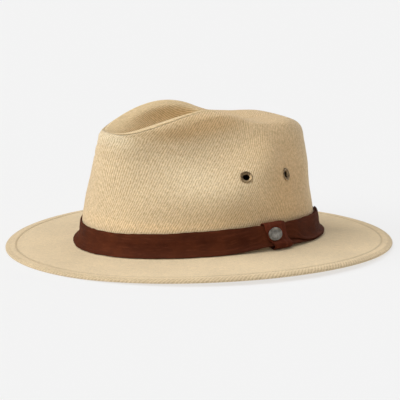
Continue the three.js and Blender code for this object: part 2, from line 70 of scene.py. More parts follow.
# yf, yb, w, pear, zf, zs, zb, skew: rings from the joint up and into the dent
CROWN_NAMES = ["joint", "band_top", "wall_1", "wall_2", "wall_3", "wall_4", "turn_1", "turn_2",
               "roof_1", "roof_2", "lip", "seam", "rim", "inside_1", "inside_2", "inside_3", "valley"]
CROWN = np.array([
    [-105.6, 103.8, 90.2, 0.000, 15.0, 20.5, 17.5, 0.0],
    [-103.9, 101.7, 88.3, 0.000, 31.0, 34.5, 32.0, 0.0],
    [-98.9, 99.3, 87.9, -0.007, 51.4, 55.4, 51.5, 0.3],
    [-95.3, 97.4, 82.7, 0.045, 69.2, 69.7, 70.2, 1.0],
    [-93.2, 94.3, 75.0, 0.106, 84.0, 82.9, 86.8, 1.6],
    [-93.8, 89.5, 68.2, 0.157, 93.1, 93.7, 99.9, 2.1],
    [-95.2, 77.4, 62.4, 0.184, 97.8, 99.2, 107.6, 3.1],
    [-95.4, 64.9, 56.9, 0.177, 101.6, 101.9, 109.1, 3.5],
    [-95.3, 49.1, 51.3, 0.154, 103.4, 105.6, 107.3, 4.2],
    [-94.0, 36.2, 48.4, 0.137, 104.3, 111.0, 107.1, 4.7],
    [-91.6, 26.1, 46.3, 0.101, 104.9, 114.4, 106.7, 3.9],
    [-88.6, 22.9, 41.1, 0.007, 104.0, 119.4, 106.7, 3.2],
    [-86.7, 20.3, 35.1, -0.014, 103.1, 119.2, 107.5, 2.1],
    [-84.2, 16.2, 26.8, 0.103, 101.8, 116.0, 107.5, 1.7],
    [-79.5, 10.9, 23.2, 0.241, 99.6, 105.2, 104.5, -0.6],
    [-74.0, 1.0, 17.0, 0.211, 96.6, 96.3, 100.9, -1.8],
    [-66.7, -14.5, 0.0, 0.000, 93.9, 93.0, 99.4, 0.0],
])
SEAM, TOP = CROWN_NAMES.index("seam"), len(CROWN) - 1
past = CROWN[-2].copy()
past[2] = -past[2]
CROWN_ON = np.vstack([CROWN, past])  # the other side of the valley carries on from this one
# Soft folds and bulges of the crown: round in degrees from the front, ring, half width in degrees,
# half height in rings, lean in rings per 10 degrees, push outwards in mm
FOLDS = [
    (113, 6.1, 31, 3.0, -0.5, -8.9),
    (78, 5.5, 40, 3.6, 0.4, -7.1),
    (137, 5.0, 18, 2.9, 0.6, -6.0),
    (95, 3.2, 22, 1.6, 0.9, 5.6),
    (110, 9.7, 47, 1.1, 0.2, 2.7),
    (41, 7.2, 66, 2.1, 0.8, 3.4),
    (89, 3.1, 22, 0.9, 0.3, 3.1),
    (131, 7.6, 52, 1.1, -0.7, 3.1),
    (40, 6.1, 20, 1.5, 0.9, 2.5),
    (-9, 7.1, 33, 2.4, 0.4, -2.1),
]
# out, zf, zs, zb, thick
BRIM = np.array([
    [1.000, 2.3, 6.5, 2.3, 3.0], [0.860, 2.5, 6.9, 2.6, 3.0], [0.660, 2.9, 7.5, 3.5, 2.4],
    [0.400, 3.4, 8.4, 4.9, 2.4], [0.200, 3.9, 9.2, 6.2, 2.4], [0.125, 4.4, 9.8, 6.9, 2.4],
    [0.075, 5.6, 11.0, 8.1, 2.4], [0.032, 8.1, 13.5, 10.6, 2.2], [0.008, 11.4, 16.9, 13.9, 2.0],
    [0.000, 14.7, 20.2, 17.2, 2.0]])
BAND_TOP = (24.6, 30.8, 27.6)
BAND_LOW_RING, BAND_START, BAND_LAP, TAIL_PINCH = 5.4, 101.0, 62.0, 0.30
KEEPER = dict(topFrom=96.0, topTo=107.6, lowFrom=99.2, lowTo=109.4)
KEEPER_MIDDLE = sum(KEEPER.values()) / 4
PLATE_AT = (0.37, 100.9)
PLATE_HALF_LONG, PLATE_HALF_TALL = 7.2, 5.6
EYELETS = [("eyelet_left_front", 1, -1.9, 71.7), ("eyelet_left_rear", 1, 44.5, 68.1),
           ("eyelet_right_front", -1, -1.9, 71.7), ("eyelet_right_rear", -1, 44.5, 68.1)]


# ---------------------------------------------------------------- surfaces
def smooth(t):
    c = np.clip(t, 0, 1)
    return c * c * (3 - 2 * c)


def height(zf, zs, zb, u, skew=0):
    second = (zf + zb) / 4 - zs / 2
    first = (zf - zb) / 2 - skew
    return zs + second + first * np.cos(u) + second * np.cos(2 * u) + skew * np.cos(3 * u)


def rows(table, s, on=None):
    s = np.asarray(s, float)
    last = len(table) - 1
    on = table if on is None else on
    i = np.clip(np.floor(s).astype(int), 0, last - 1)
    t = (s - i)[..., None]
    a, b, c = table[np.maximum(i - 1, 0)], table[i], table[i + 1]
    d = on[np.minimum(i + 2, len(on) - 1)]
    return 0.5 * (2 * b + (c - a) * t + (2 * a - 5 * b + 4 * c - d) * t * t + (3 * b - a - 3 * c + d) * t ** 3)


def crown_base(s, u):
    yf, yb, w, pear, zf, zs, zb, skew = np.moveaxis(rows(CROWN, s, CROWN_ON), -1, 0)
    return np.stack([w * (np.sin(u) - pear * np.sin(2 * u)), (yf + yb) / 2 - (yb - yf) / 2 * np.cos(u),
                     height(zf, zs, zb, u, skew)], -1)


def unit(v):
    return v / (np.linalg.norm(v, axis=-1, keepdims=True) + 1e-12)


def outward(fn, s, u, low, high):
    along = fn(np.minimum(high, s + 0.02), u) - fn(np.maximum(low, s - 0.02), u)
    return unit(np.cross(fn(s, u + 0.01) - fn(s, u - 0.01), along))


def fold_push(s, u):
    d = np.degrees((u + math.pi) % (2 * math.pi) - math.pi)
    total = 0
    for at, ring, wide, tall, lean, push in FOLDS:
        for side in (d - at, -d - at):
            total = total + push * np.exp(-(side / wide) ** 2 - ((s - ring - lean * side / 10) / tall) ** 2)
    return total * smooth((s - 0.8) / 1.2) * smooth(SEAM - s)


def crown_outer(s, u):
    s, u = np.broadcast_arrays(np.asarray(s, float), np.asarray(u, float))
    # pushed straight out from the wall, and more and more upwards over the shoulder
    rise = (0.75 * smooth((s - 2) / 5))[..., None]
    way = np.stack([np.sin(u), -np.cos(u), 0 * u], -1) * (1 - rise) + np.array([0, 0, 1.0]) * rise
    return crown_base(s, u) + unit(way) * fold_push(s, u)[..., None]


def crown_normal(s, u):
    return outward(crown_outer, s, u, 0, TOP - 0.05)


def brim_top(s, u):
    s, u = np.broadcast_arrays(np.asarray(s, float), np.asarray(u, float))
    out, zf, zs, zb, _ = np.moveaxis(rows(BRIM, s), -1, 0)
    out = np.maximum(0, out)
    joint = crown_base(np.zeros_like(u), u)
    x = joint[..., 0] * (1 - out) + BRIM_HALF_WIDTH * np.sin(u) * out
    y = joint[..., 1] * (1 - out) - BRIM_HALF_LENGTH * np.cos(u) * out
    z = height(zf, zs, zb, u)
    floor = np.where(s <= 2.2, BRIM_EDGE, -1e9)
    d = z - floor
    z = np.where(d > 0.6, z, np.where(d < -0.6, floor, floor + (d + 0.6) ** 2 / 2.4))  # lies flat where it rests
    return np.stack([x, y, z], -1)


def band_skin(q, u):
    q, u = np.broadcast_arrays(np.asarray(q, float), np.asarray(u, float))
    joint, upper = crown_base(0 * u, u), crown_base(0 * u + 1, u)
    zt = height(*BAND_TOP, u)
    z = joint[..., 2] + (zt - joint[..., 2]) * (0.5 - q) / 0.5
    on_crown = crown_base(np.clip((z - joint[..., 2]) / (upper[..., 2] - joint[..., 2]), 0, 1), u)
    last = len(BRIM) - 1
    on_brim = brim_top(last + (BAND_LOW_RING - last) * np.clip((q - 0.5) / 0.5, 0, 1), u)
    return np.where((q < 0.5)[..., None], on_crown, on_brim)


def band_normal(q, u):
    down = band_skin(np.minimum(1, q + 0.05), u) - band_skin(np.maximum(0, q - 0.05), u)
    return unit(np.cross(down, band_skin(q, u + 0.02) - band_skin(q, u - 0.02)))


def band_standoff(run):
    start = BAND_START * DEG
    lapped = smooth((run - (start + 2 * math.pi - 15 * DEG)) / (12 * DEG))
    u = run % (2 * math.pi)
    room = smooth(1 - (np.abs(u - KEEPER_MIDDLE * DEG) - 13 * DEG) / (12 * DEG))
    return BAND_STANDOFF + KEEPER_ROOM * room + lapped * (BAND_LEATHER + 0.35)


def waves(p, size, seed, count=7):
    """Smooth unevenness of about that size in mm, roughly between -1 and 1."""
    r = np.random.default_rng(seed)
    total = np.zeros(p.shape[:-1])
    for _ in range(count):
        k = r.normal(size=3)
        k *= 2 * math.pi / size / np.linalg.norm(k) * r.uniform(0.7, 1.35)
        total += np.sin(p @ k + r.uniform(0, 2 * math.pi))
    return total / math.sqrt(count) / 1.6


# ---------------------------------------------------------------- mesh building
class Builder:
    """Collects vertices in mm and faces with their own texture places in mm."""

    def __init__(self):
        self.verts, self.faces, self.uvs, self.count, self.tone, self.hem = [], [], [], 0, None, None

    def add(self, points):
        points = np.asarray(points, float).reshape(-1, 3)
        at = self.count
        self.verts.append(points)
        self.count += len(points)
        return at

    def grid(self, index, uv, flip=False, keep=None):
        """index is a table of vertex numbers, uv one of places of the same shape."""
        a, b, c, d = index[:-1, :-1], index[:-1, 1:], index[1:, 1:], index[1:, :-1]
        ua, ub, uc, ud = uv[:-1, :-1], uv[:-1, 1:], uv[1:, 1:], uv[1:, :-1]
        f = np.stack([a, b, c, d], -1).reshape(-1, 4)
        t = np.stack([ua, ub, uc, ud], -2).reshape(-1, 4, 2)
        if keep is not None:
            f, t = f[keep.ravel()], t[keep.ravel()]
        if flip:
            f, t = f[:, ::-1], t[:, ::-1]
        self.faces.append(f)
        self.uvs.append(t)

    def mesh(self, name):
        verts = np.concatenate(self.verts) * MM
        quads, uvs = np.concatenate(self.faces), np.concatenate(self.uvs)
        loops, starts, totals, places = [], [], [], []
        at = 0
        for f, t in zip(quads, uvs):
            keep = [k for k in range(4) if f[k] != f[k - 1]]
            if len(keep) < 3 or len({int(f[k]) for k in keep}) < 3:
                continue
            starts.append(at)
            totals.append(len(keep))
            loops.extend(int(f[k]) for k in keep)
            places.extend(t[k] for k in keep)
            at += len(keep)
        me = bpy.data.meshes.new(name)
        me.vertices.add(len(verts))
        me.vertices.foreach_set("co", verts.ravel())
        me.loops.add(len(loops))
        me.loops.foreach_set("vertex_index", loops)
        me.polygons.add(len(starts))
        me.polygons.foreach_set("loop_start", starts)
        me.polygons.foreach_set("loop_total", totals)
        me.polygons.foreach_set("use_smooth", [True] * len(starts))
        layer = me.uv_layers.new(name="cloth")
        layer.data.foreach_set("uv", (np.array(places) * MM).ravel())
        # painted light and shade, stored as a colour at each point
        if self.tone is not None:
            tone = me.attributes.new("tone", "FLOAT_COLOR", "POINT")
            tone.data.foreach_set("color", np.concatenate([self.tone, np.ones((len(self.tone), 1))], 1).ravel())
        if self.hem is not None:
            me.attributes.new("hem", "FLOAT", "POINT").data.foreach_set("value", self.hem.ravel())
        me.update(calc_edges=True)
        me.validate()
        return me

    def piece(self, name, material, nodes=()):
        o = bpy.data.objects.new(name, self.mesh(name))
        bpy.context.scene.collection.objects.link(o)
        o.data.materials.append(material)
        # loose points left by skipped cells go
        used = np.zeros(len(o.data.vertices), bool)
        idx = np.empty(len(o.data.loops), int)
        o.data.loops.foreach_get("vertex_index", idx)
        used[idx] = True
        if not used.all():
            import bmesh
            bm = bmesh.new()
            bm.from_mesh(o.data)
            bmesh.ops.delete(bm, geom=[v for v in bm.verts if not v.link_faces], context="VERTS")
            bm.to_mesh(o.data)
            bm.free()
        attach(o, "root")
        for n in nodes:
            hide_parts(n)
        return o


def closed(index):
    return np.concatenate([index, index[:, :1]], 1)


def table(at, m, n):
    return at + np.arange(m * n).reshape(m, n)


def grid_normals(p, wrap=True):
    if wrap:
        q = np.concatenate([p[:, -1:], p, p[:, :1]], 1)
        du = (q[:, 2:] - q[:, :-2])
    else:
        du = np.gradient(p, axis=1)
    return unit(np.cross(du, np.gradient(p, axis=0)))


# ---------------------------------------------------------------- materials
class Nodes:
    def __init__(self, name):
        self.mat = bpy.data.materials.new(name)
        self.mat.use_nodes = True
        self.tree = self.mat.node_tree
        self.tree.nodes.clear()

    def new(self, kind, **values):
        n = self.tree.nodes.new(kind)
        for k, v in values.items():
            if k.startswith("_"):
                setattr(n, k[1:], v)
            else:
                n.inputs[k.replace("_", " ")].default_value = v
        return n

    def link(self, a, b):
        self.tree.links.new(a, b)

    def math(self, op, a, b=None, c=None, clamp=False):
        n = self.tree.nodes.new("ShaderNodeMath")
        n.operation = op
        n.use_clamp = clamp
        for i, v in enumerate((a, b, c)):
            if v is None:
                continue
            if isinstance(v, (int, float)):
                n.inputs[i].default_value = v
            else:
                self.link(v, n.inputs[i])
        return n.outputs[0]

    def mix(self, fac, a, b, blend="MIX"):
        n = self.tree.nodes.new("ShaderNodeMix")
        n.data_type = "RGBA"
        n.blend_type = blend
        for sock, v in ((n.inputs[0], fac), (n.inputs[6], a), (n.inputs[7], b)):
            if isinstance(v, (int, float)):
                sock.default_value = v
            elif isinstance(v, tuple):
                sock.default_value = (*v, 1.0) if len(v) == 3 else v
            else:
                self.link(v, sock)
        return n.outputs[2]

    def noise(self, vector, scale, detail=2.0, rough=0.5, out=0):
        n = self.new("ShaderNodeTexNoise", Scale=scale, Detail=detail, Roughness=rough)
        self.link(vector, n.inputs["Vector"])
        return n.outputs[out]

    def spread(self, value, low, high, to_low=0.0, to_high=1.0):
        n = self.tree.nodes.new("ShaderNodeMapRange")
        n.inputs["From Min"].default_value, n.inputs["From Max"].default_value = low, high
        n.inputs["To Min"].default_value, n.inputs["To Max"].default_value = to_low, to_high
        self.link(value, n.inputs["Value"])
        return n.outputs[0]

    def done(self, shader):
        out = self.tree.nodes.new("ShaderNodeOutputMaterial")
        self.link(shader.outputs[0], out.inputs["Surface"])
        return self.mat


def twill(name, colour, groove, angle, spacing, rib=0.55, bump=0.00022, mottle=0.06, slubs=1.0, with_painted_light=False, hem=0.0):
    """Cotton twill. angle is the ribs' rise in degrees in the cloth, spacing in mm."""
    m = Nodes(name)
    uv = m.new("ShaderNodeUVMap", _uv_map="cloth").outputs[0]
    place = m.tree.nodes.new("ShaderNodeTexCoord").outputs["Object"]
    sep = m.tree.nodes.new("ShaderNodeSeparateXYZ")
    m.link(uv, sep.inputs[0])
    U, V = sep.outputs[0], sep.outputs[1]
    a = angle * DEG
    # across the ribs and along them, in ribs and in yarns
    across = m.math("ADD", m.math("MULTIPLY", U, math.sin(a) / (spacing * MM)),
                    m.math("MULTIPLY", V, -math.cos(a) / (spacing * MM)))
    sway = m.math("MULTIPLY", m.math("SUBTRACT", m.noise(place, 160.0, 2.0), 0.5), 0.55)
    across = m.math("ADD", across, sway)
    across = m.math("ADD", across, m.math("MULTIPLY", m.math("SUBTRACT", m.noise(place, 560.0, 2.0), 0.5), 0.55))
    along = m.math("ADD", m.math("MULTIPLY", U, math.cos(a) / (spacing * 0.62 * MM)),
                   m.math("MULTIPLY", V, math.sin(a) / (spacing * 0.62 * MM)))
    turn = m.math("MULTIPLY", across, 2 * math.pi)
    ribs = m.math("ADD", m.math("MULTIPLY", m.math("SINE", turn), 0.5), 0.5)
    ribs = m.math("POWER", ribs, 0.7)
    shift = m.math("MULTIPLY", m.math("FLOOR", m.math("ADD", across, 0.25)), 0.37)
    yarn = m.math("ADD", m.math("MULTIPLY", m.math("SINE", m.math("MULTIPLY", m.math("ADD", along, shift), 2 * math.pi)), 0.5), 0.5)
    weave = m.math("ADD", m.math("MULTIPLY", ribs, 0.66), m.math("MULTIPLY", yarn, 0.34))
    fine = m.noise(place, 900.0, 3.0, 0.65)
    # slubs: stretches of a few yarns that are thicker or thinner than the rest
    run = m.new("ShaderNodeCombineXYZ")
    m.link(m.math("MULTIPLY", across, 1.15), run.inputs[0])
    m.link(m.math("MULTIPLY", along, 0.42), run.inputs[1])
    slub = m.noise(run.outputs[0], 1.0, 2.0, 0.6)
    weave = m.math("ADD", weave, m.math("MULTIPLY", m.math("SUBTRACT", slub, 0.5), slubs))
    # colour: groove to rib, then blotches of two sizes and pale slubs
    depth = m.spread(weave, 0.15, 0.85)
    if hem:  # the ribs stand out more in the turned hem
        there = m.new("ShaderNodeAttribute", _attribute_name="hem").outputs["Fac"]
        low = m.math("SUBTRACT", 1.0 - rib, m.math("MULTIPLY", there, hem))
    else:
        low = 1.0 - rib
    depth = m.math("ADD", m.math("MULTIPLY", depth, m.math("SUBTRACT", 1.0, low)), low)
    body = m.mix(depth, groove, colour)
    broad = m.spread(m.noise(place, 22.0, 3.0, 0.55), 0.3, 0.7, 1.0 - mottle, 1.0 + mottle * 0.6)
    small = m.spread(m.noise(place, 240.0, 3.0, 0.6), 0.25, 0.75, 1.0 - mottle, 1.0 + mottle)
    tone = m.math("MULTIPLY", broad, small)
    grain = m.spread(fine, 0.25, 0.75, 0.86, 1.13)
    tone = m.math("MULTIPLY", tone, grain)
    comb = m.tree.nodes.new("ShaderNodeCombineColor")
    for i in range(3):
        m.link(tone, comb.inputs[i])
    body = m.mix(1.0, body, comb.outputs[0], "MULTIPLY")
    # painted light and shade, carried in the 'tone' attribute of each point
    if with_painted_light:
        body = m.mix(1.0, body, m.new("ShaderNodeAttribute", _attribute_name="tone").outputs["Color"], "MULTIPLY")
    relief = m.math("ADD", weave, m.math("MULTIPLY", fine, 0.25))
    b = m.new("ShaderNodeBump", Strength=1.0, Distance=bump)
    m.link(relief, b.inputs["Height"])
    s = m.new("ShaderNodeBsdfPrincipled", IOR=1.45)
    s.inputs["Specular IOR Level"].default_value = 0.22
    s.inputs["Sheen Weight"].default_value = 0.12
    s.inputs["Sheen Roughness"].default_value = 0.5
    m.link(body, s.inputs["Base Color"])
    m.link(m.spread(small, 0.9, 1.1, 0.82, 0.95), s.inputs["Roughness"])
    m.link(b.outputs[0], s.inputs["Normal"])
    return m.done(s)


def leather(name, colour, dark, light, wear=0.5, rough=(0.42, 0.62)):
    m = Nodes(name)
    place = m.tree.nodes.new("ShaderNodeTexCoord").outputs["Object"]
    uv = m.new("ShaderNodeUVMap", _uv_map="cloth").outputs[0]
    sep = m.tree.nodes.new("ShaderNodeSeparateXYZ")
    m.link(uv, sep.inputs[0])
    blotch = m.noise(place, 55.0, 4.0, 0.6)
    body = m.mix(m.spread(blotch, 0.35, 0.68), dark, colour)
    streak_map = m.tree.nodes.new("ShaderNodeMapping")
    streak_map.inputs["Scale"].default_value = (60.0, 420.0, 1.0)
    m.link(uv, streak_map.inputs["Vector"])
    streak = m.noise(streak_map.outputs[0], 1.0, 4.0, 0.65)
    body = m.mix(m.math("MULTIPLY", m.spread(streak, 0.52, 0.80), wear), body, light)
    # pointed grain cells with creases between them
    cells = m.new("ShaderNodeTexVoronoi", Scale=900.0, _feature="DISTANCE_TO_EDGE")
    warp = m.mix(0.0006, place, m.noise(place, 300.0, 2.0, out=1))
    m.link(warp, cells.inputs["Vector"])
    creases = m.spread(cells.outputs["Distance"], 0.0, 0.12)
    body = m.mix(m.math("MULTIPLY", m.math("SUBTRACT", 1.0, creases), 0.35), body, dark)
    pores = m.noise(place, 1800.0, 2.0, 0.6)
    relief = m.math("ADD", m.math("MULTIPLY", creases, 0.6), m.math("MULTIPLY", pores, 0.3))
    relief = m.math("ADD", relief, m.math("MULTIPLY", streak, 1.2))
    b = m.new("ShaderNodeBump", Strength=0.8, Distance=0.00016)
    m.link(relief, b.inputs["Height"])
    s = m.new("ShaderNodeBsdfPrincipled", IOR=1.5)
    s.inputs["Specular IOR Level"].default_value = 0.03
    m.link(body, s.inputs["Base Color"])
    m.link(m.spread(blotch, 0.3, 0.7, rough[0], rough[1]), s.inputs["Roughness"])
    m.link(b.outputs[0], s.inputs["Normal"])
    return m.done(s)


def metal(name, bright, dark, scale=220.0, rough=(0.28, 0.55), brushed=False):
    m = Nodes(name)
    place = m.tree.nodes.new("ShaderNodeTexCoord").outputs["Object"]
    patina = m.noise(place, scale, 4.0, 0.65)
    speck = m.noise(place, scale * 7, 3.0, 0.6)
    body = m.mix(m.spread(patina, 0.38, 0.66), dark, bright)
    body = m.mix(m.spread(speck, 0.62, 0.78, 0.0, 0.55), body, dark)
    grain = speck
    if brushed:
        way = m.tree.nodes.new("ShaderNodeMapping")
        way.inputs["Scale"].default_value = (400.0, 400.0, 6500.0)
        m.link(place, way.inputs["Vector"])
        grain = m.noise(way.outputs[0], 1.0, 3.0, 0.7)
    b = m.new("ShaderNodeBump", Strength=0.6, Distance=0.00005)
    m.link(grain, b.inputs["Height"])
    s = m.new("ShaderNodeBsdfPrincipled", Metallic=1.0)
    m.link(body, s.inputs["Base Color"])
    m.link(m.spread(patina, 0.3, 0.7, rough[1], rough[0]), s.inputs["Roughness"])
    m.link(b.outputs[0], s.inputs["Normal"])
    return m.done(s)


CREAM, CREAM_DEEP = (0.82, 0.65, 0.415), (0.50, 0.345, 0.175)
crown_twill = twill("crown_twill", CREAM, CREAM_DEEP, 60.0, 1.92, rib=0.95, slubs=1.5, with_painted_light=True)
tip_twill = twill("tip_twill", (0.82, 0.632, 0.375), (0.50, 0.335, 0.155), -33.0, 1.88, rib=0.85, with_painted_light=True)
brim_twill = twill("brim_twill", (0.79, 0.63, 0.405), (0.60, 0.455, 0.27), 50.0, 1.8, rib=0.30, bump=0.00014, with_painted_light=True, hem=1.08)
band_leather = leather("band_leather", (0.104, 0.0270, 0.0110), (0.060, 0.0150, 0.0066), (0.21, 0.062, 0.030), rough=(0.55, 0.75))
keeper_leather = leather("keeper_leather", (0.155, 0.035, 0.017), (0.070, 0.017, 0.008), (0.30, 0.092, 0.050), wear=0.8, rough=(0.55, 0.75))
brass = metal("aged_brass", (0.50, 0.36, 0.20), (0.10, 0.065, 0.035))
nickel = metal("aged_nickel", (0.42, 0.40, 0.36), (0.13, 0.12, 0.105), scale=140.0, brushed=True)


def thread(name, colour):
    m = Nodes(name)
    place = m.tree.nodes.new("ShaderNodeTexCoord").outputs["Object"]
    fuzz = m.noise(place, 2500.0, 2.0, 0.6)
    body = m.mix(m.spread(fuzz, 0.3, 0.7), tuple(0.72 * c for c in colour), colour)
    b = m.new("ShaderNodeBump", Strength=0.5, Distance=0.00008)
    m.link(fuzz, b.inputs["Height"])
    s = m.new("ShaderNodeBsdfPrincipled", Roughness=0.75)
    s.inputs["Sheen Weight"].default_value = 0.1
    m.link(body, s.inputs["Base Color"])
    m.link(b.outputs[0], s.inputs["Normal"])
    return m.done(s)


cotton_thread = thread("cotton_thread", (0.74, 0.58, 0.36))

# ---------------------------------------------------------------- eyelet places
def eyelet_seat(side, y, z):
    s, u = 3.0, 90 * DEG
    for _ in range(60):
        p = crown_outer(s, u)
        s += (z - p[2]) / 18 * 0.7
        u += (y - p[1]) / 100 * 0.7
    if side < 0:
        u = 2 * math.pi - u
    return crown_outer(s, u), crown_normal(np.array(s), np.array(u))


seats = [(n, *eyelet_seat(side, y, z)) for n, side, y, z in EYELETS]

# ---------------------------------------------------------------- crown
N = 300
# small creases: y, z of the middle, half length, half width, tilt in degrees, depth
CREASES = [
    (-97, 92, 9, 1.7, 4, 0.8), (-93, 83, 7, 1.6, -8, 0.45), (-88, 97, 8, 2.0, 10, 0.35),
    (-60, 40, 26, 7, -20, 0.5), (20, 42, 30, 8, 12, 0.6), (62, 60, 14, 6, 60, 0.6), (-20, 90, 22, 6, 8, 0.4),
]


# painted light and shade on the crown, not the cloth's own colour: lighter and paler where the cloth should look lit,
# darker and fuller where it should look shaded, as in the hollow under the rim and on the rear: y, z of the middle,
# half length, half height, lighter or darker, paler or fuller in colour
LIGHT_AND_SHADE_PATCHES = [
    (48, 62, 34, 48, 0.00, -0.30), (-14, 113, 32, 8, 0.00, -0.26), (-50, 104, 16, 5.5, -0.15, -0.10),
    (0, 34, 60, 10, 0.00, -0.10), (4, 62, 14, 16, 0.10, 0.02), (89, 61, 12, 38, 0.25, 0.15),
    (-88, 100, 10, 7, 0.12, 0.17), (-40, 70, 22, 13, 0.11, 0.08), (-70, 32, 40, 4, 0.12, -0.05),
    (-40, 105, 26, 6, -0.04, -0.15),
]


# painted light and shade on the crown, as a colour factor at each point
def crown_painted_light(p):
    light = warm = 0
    for y, z, along, tall, a, b in LIGHT_AND_SHADE_PATCHES:
        here = np.exp(-((p[..., 1] - y) / along) ** 2 - ((p[..., 2] - z) / tall) ** 2)
        light, warm = light + a * here, warm + b * here
    return np.exp(np.stack([light, light + 0.42 * warm, light + warm], -1))


def crown_detail(p):
    """Extra push inwards of the visible cloth, in mm."""
    d = 0.30 * waves(p, 42, 3) + 0.10 * waves(p, 15, 4)
    for y, z, along, tall, tilt, depth in CREASES:
        c, k = math.cos(tilt * DEG), math.sin(tilt * DEG)
        dy, dz = p[..., 1] - y, p[..., 2] - z
        d = d + depth * np.exp(-((dy * c + dz * k) / along) ** 2 - ((dz * c - dy * k) / tall) ** 2)
    for _, at, _n in seats:
        r = np.linalg.norm(p - at, axis=-1)
        d = d + 0.45 * np.exp(-(r / 6.5) ** 4)
    return d


def seam_ring(u):
    """The ring where side and tip are sewn together: just outside the crest beside the dent's front half,
    just inside it at the front corner and behind."""
    a = np.degrees(np.angle(np.exp(1j * u)))
    ring = np.interp(a, [-180, -70, -35, 0, 14, 24, 33, 40, 50, 64, 80, 100, 180],
                     [11.10, 11.10, 11.25, 11.05, 10.60, 10.20, 10.20, 10.70, 11.10, 11.20, 11.08, 11.04, 11.10])
    k = np.hanning(15)[1:-1]
    return np.convolve(np.concatenate([ring[-6:], ring, ring[:6]]), k / k.sum(), "valid")


def groove(u):
    """Depth of the seam round the dent, in mm; it is pressed flat at the front corner."""
    a = np.degrees(np.angle(np.exp(1j * u)))
    return 0.18 + 0.50 * smooth((a - 6) / 16) * smooth((180 - a) / 60) + 0.30 * smooth((-a - 45) / 30) * smooth((180 + a) / 60) + 0.3 * smooth((np.abs(a) - 120) / 60)


def arc(p, axis=0):
    """Distance along the rows of a table of points."""
    step = np.linalg.norm(np.diff(p, axis=axis), axis=-1)
    return np.concatenate([np.zeros((1, p.shape[1])), np.cumsum(step, 0)], 0)


def cloth_places(p, zero=75):
    """The panel's own width and length at each point, in mm: round each row from a plumb line at that angle,
    and up plumb lines from the lowest row. It is cut at the back seam."""
    around = np.concatenate([p, p[:, :1]], 1)
    turn = np.arctan2(around[..., 0], -around[..., 1] - 2)
    turn[:, 0], turn[:, -1] = -math.pi, math.pi
    step = np.linalg.norm(np.diff(around, axis=1), axis=-1)
    total = np.concatenate([np.zeros((len(p), 1)), np.cumsum(step, 1)], 1)
    wide = total - np.array([np.interp(zero * DEG, turn[i], total[i]) for i in range(len(p))])[:, None]
    tall = np.zeros_like(wide)
    for i in range(1, len(p)):
        below = np.stack([np.interp(turn[i], turn[i - 1], around[i - 1, :, k]) for k in range(3)], -1)
        tall[i] = np.interp(turn[i], turn[i - 1], tall[i - 1]) + np.linalg.norm(around[i] - below, axis=-1)
    return np.stack([wide, tall], -1)


u_all = np.linspace(-np.pi, np.pi, N, endpoint=False)  # from the back seam round by the far side


def build_crown_side():
    s_rows = np.concatenate([np.linspace(0, 5, 52, endpoint=False), np.linspace(5, 8.5, 34, endpoint=False)])
    S = np.concatenate([np.repeat(s_rows[:, None], N, 1),
                        8.5 + np.linspace(0, 1, 34)[:, None] * (seam_ring(u_all) - 0.006 - 8.5)])
    U = np.broadcast_to(u_all, S.shape)
    p = crown_outer(S, U)
    # stop just short of the seam everywhere by the same distance
    from_seam = arc(p)
    from_seam = from_seam[-1] - from_seam
    n = grid_normals(p)
    fade = smooth((S - 0.1) / 0.8)
    off = (np.pi - np.abs(U)) * 85
    back = np.exp(-(off / 1.1) ** 2)  # joining seam at the back
    welt = np.exp(-((off - 2.6) / 1.6) ** 2)
    push = crown_detail(p) * fade * smooth(from_seam / 6)
    push += groove(U) * np.exp(-(from_seam / 0.8) ** 2) - 0.22 * np.exp(-((from_seam - 2.4) / 1.4) ** 2)
    push += (0.45 * back - 0.15 * welt) * smooth(from_seam / 3)
    p = p - n * push[..., None]
    n = grid_normals(p)
    q = p - n * CROWN_CLOTH * np.clip(0.55 + from_seam / 8, 0.55, 1)[..., None]
    b = Builder()
    m = len(S)
    outer, inner = closed(table(b.add(p), m, N)), closed(table(b.add(q), m, N))
    # painted shade in the seam's groove, strongest from 8 to 112 degrees round
    seam_painted_shade = 0.80 * smooth((np.degrees(U) - 8) / 20) * smooth((112 - np.degrees(U)) / 50) + 0.10
    tone = crown_painted_light(p) * (1 - seam_painted_shade * np.exp(-(from_seam / 0.85) ** 2))[..., None]
    tone = tone.reshape(-1, 3)
    b.tone = np.concatenate([tone, np.ones_like(tone)])
    uv = cloth_places(p)
    middle = 0.25 * (p + np.roll(p, -1, 1) + np.roll(p, -1, 0) + np.roll(np.roll(p, -1, 1), -1, 0))[:-1]
    keep = np.ones((m - 1, N), bool)
    for _, at, _n in seats:
        keep &= np.linalg.norm(middle - at, axis=-1) > 3.9
    b.grid(outer, uv, keep=keep)
    b.grid(inner, uv, flip=True, keep=keep)
    # the walls of the holes under the eyelets
    gone = ~keep
    for i, j in zip(*np.where(gone)):
        jn = (j + 1) % N
        for (r0, c0, r1, c1, ni, nj) in ((i, j, i, jn, i - 1, j), (i, jn, i + 1, jn, i, jn), (i + 1, jn, i + 1, j, i + 1, j), (i + 1, j, i, j, i, (j - 1) % N)):
            if keep[ni, nj]:
                f = np.array([[outer[r0, c0], outer[r1, c1], inner[r1, c1], inner[r0, c0]]])
                b.faces.append(f)
                b.uvs.append(np.zeros((1, 4, 2)) + uv[i, j])
    for row, flip in ((0, True), (m - 1, False)):
        rim = np.stack([outer[row], inner[row]])
        b.grid(rim, np.stack([uv[row], uv[row] + [0, 2]]), flip=flip)
    return b.piece("crown_side_cloth", crown_twill, ["crown_side"]), p, from_seam, n


crown_side_cloth, side_grid, side_from_seam, side_normals = build_crown_side()


